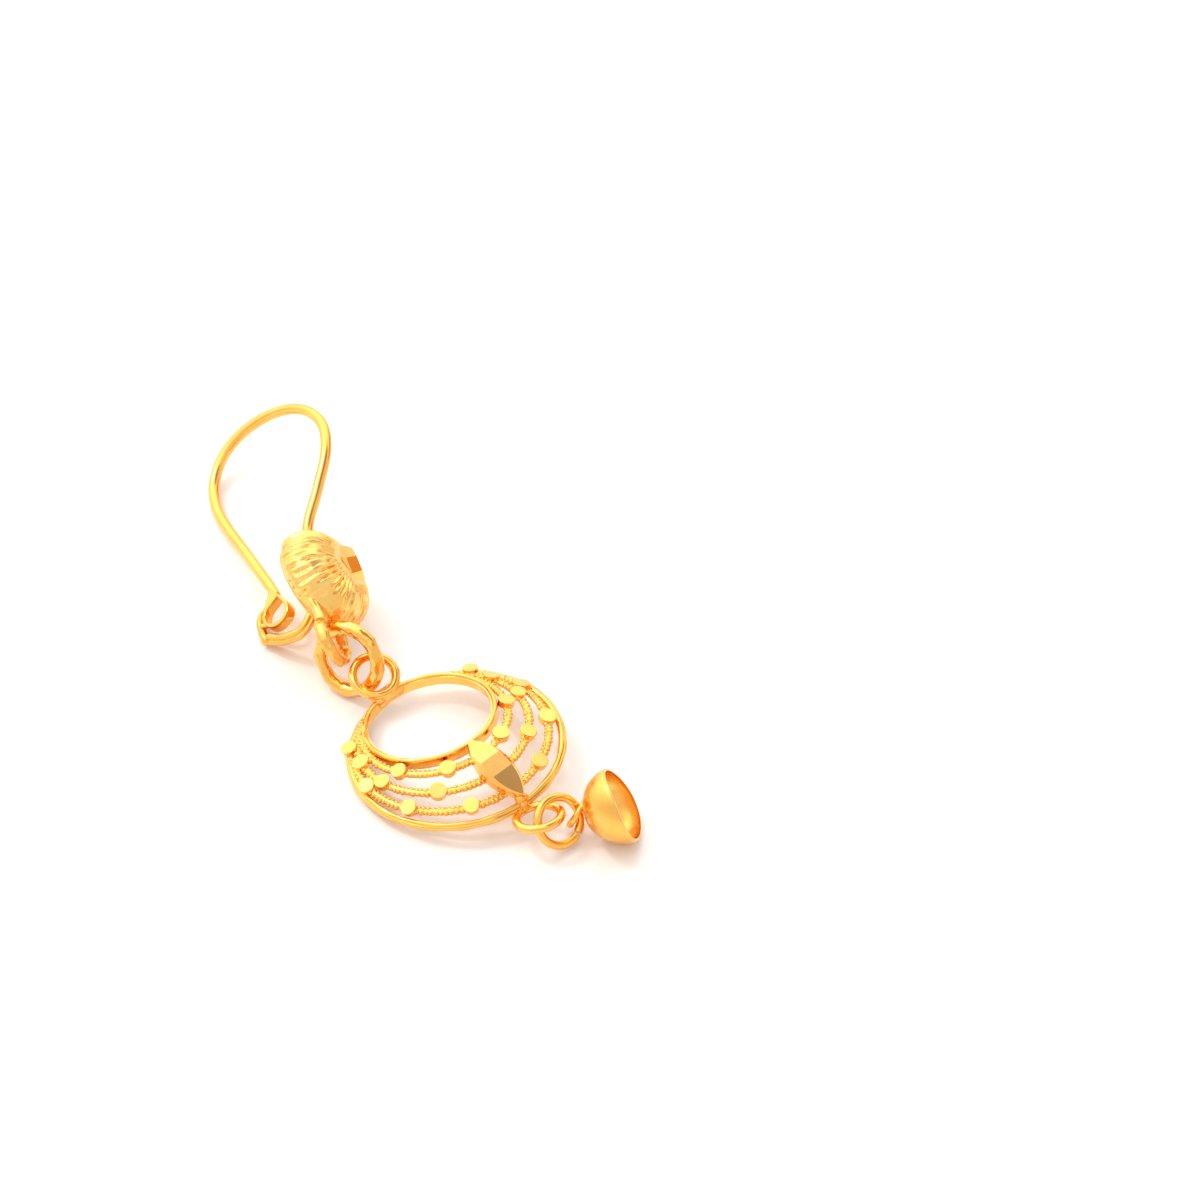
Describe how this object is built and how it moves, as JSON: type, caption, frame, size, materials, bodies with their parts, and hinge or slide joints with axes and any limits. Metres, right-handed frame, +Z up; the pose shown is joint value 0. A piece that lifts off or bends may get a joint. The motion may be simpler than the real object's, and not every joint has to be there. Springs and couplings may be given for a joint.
{
  "type": "drop earring",
  "caption": "Yellow gold drop earring: ear wire with flower boss, link ring, pierced crescent pendant and hanging bell cup, lying flat.",
  "frame": {"origin": "on the surface the earring lies on, under the middle of its bounding box", "axes": "+X along the earring from the ear hook to the bell cup, +Z up from the surface, +Y across"},
  "size_m": [0.0482, 0.0154, 0.0079],
  "materials": {
    "gold": "polished"
  },
  "bodies": {
    "root": {"ear_hook_with_flower_boss": "gold", "link_ring": "gold", "crescent_pendant": "gold", "jump_ring": "gold", "bell_cup": "gold"}
  },
  "joints": []
}
